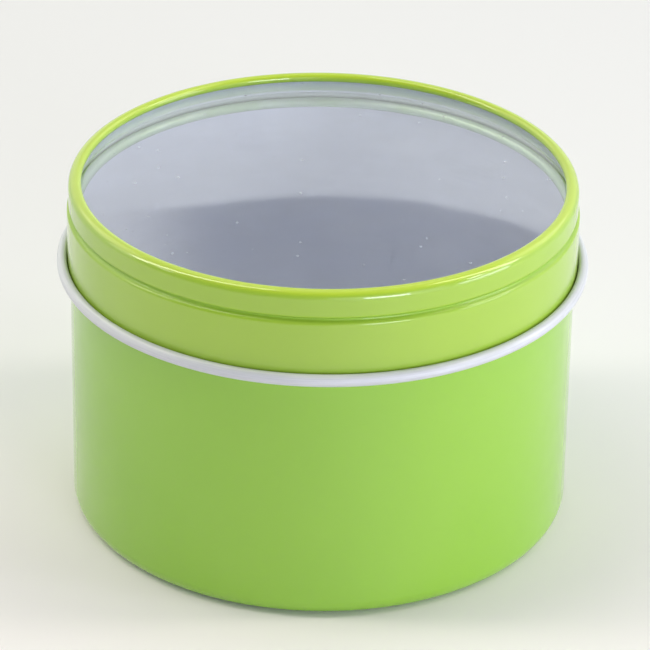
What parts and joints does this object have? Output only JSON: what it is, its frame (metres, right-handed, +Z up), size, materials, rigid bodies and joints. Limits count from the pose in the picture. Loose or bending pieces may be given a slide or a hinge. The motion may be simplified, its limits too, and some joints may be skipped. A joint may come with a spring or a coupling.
{
  "type": "window lid tin",
  "caption": "Round drawn tin with a slip-over lid: a rolled rim and a pressed bead hold a clear window, and the skirt ends in an outward curl.",
  "frame": {"origin": "centre of the tin's base, on the surface that it stands on", "axes": "+Z up along the tin's axis; X and Y are equal, since the tin is round"},
  "size_m": [0.079, 0.079, 0.0531],
  "materials": {
    "can_paint": "semi-gloss yellow-green lacquer outside, bare bright tinplate inside",
    "lid_paint": "semi-gloss yellow-green lacquer outside, bare tinplate inside and on the outward curl",
    "window_film": "clear thin plastic with fine dust"
  },
  "bodies": {
    "can": {"can": "can_paint"},
    "lid": {"lid_ring": "lid_paint", "window": "window_film"}
  },
  "joints": [
    {"name": "lid_lift", "type": "slide", "parent": "can", "child": "lid", "axis": [0, 0, 1], "range_m": [0, 0.06]}
  ]
}
